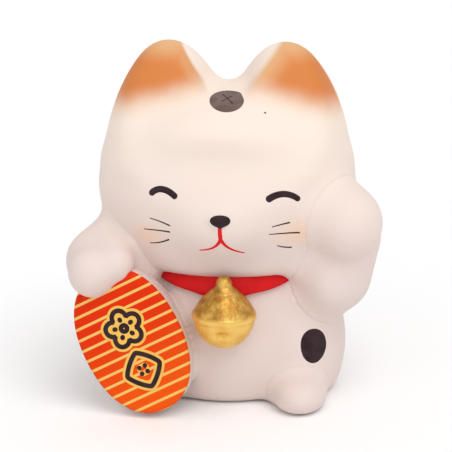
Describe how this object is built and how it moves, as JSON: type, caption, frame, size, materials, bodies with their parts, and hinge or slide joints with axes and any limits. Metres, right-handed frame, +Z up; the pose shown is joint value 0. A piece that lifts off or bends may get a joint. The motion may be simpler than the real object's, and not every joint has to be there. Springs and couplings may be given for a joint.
{
  "type": "beckoning cat figurine",
  "caption": "Seated ceramic beckoning cat coin bank with a raised paw, an oval tablet, a collar with a round bell, a coin slot and a soft stopper in the base.",
  "frame": {"origin": "middle of the stopper hole, on the plane that the cat rests on", "axes": "+Z up through the head, the cat faces -Y, +X towards the side of its raised paw"},
  "size_m": [0.0926, 0.0727, 0.1047],
  "materials": {
    "bisque": "matt, slightly warm white slip over fine earthenware",
    "collar_red": "hand-painted matt red",
    "bell_gold": "brushed-on gold paint with a soft metallic shine",
    "transfer_print": "printed transfer, satin, vermilion to orange with fine gold lines",
    "soft_plug": "soft translucent plastic"
  },
  "bodies": {
    "cat": {"head_casting": "bisque", "body_casting": "bisque", "raised_arm": "bisque", "lowered_arm": "bisque", "left_foot": "bisque", "right_foot": "bisque", "tail": "bisque", "collar": "collar_red", "bell": "bell_gold", "koban_tablet": "bisque", "koban_transfer": "transfer_print"},
    "stopper": {"stopper": "soft_plug"}
  },
  "joints": [
    {"name": "stopper_pull", "type": "slide", "parent": "cat", "child": "stopper", "axis": [0, 0, -1], "range_m": [0, 0.03]}
  ]
}
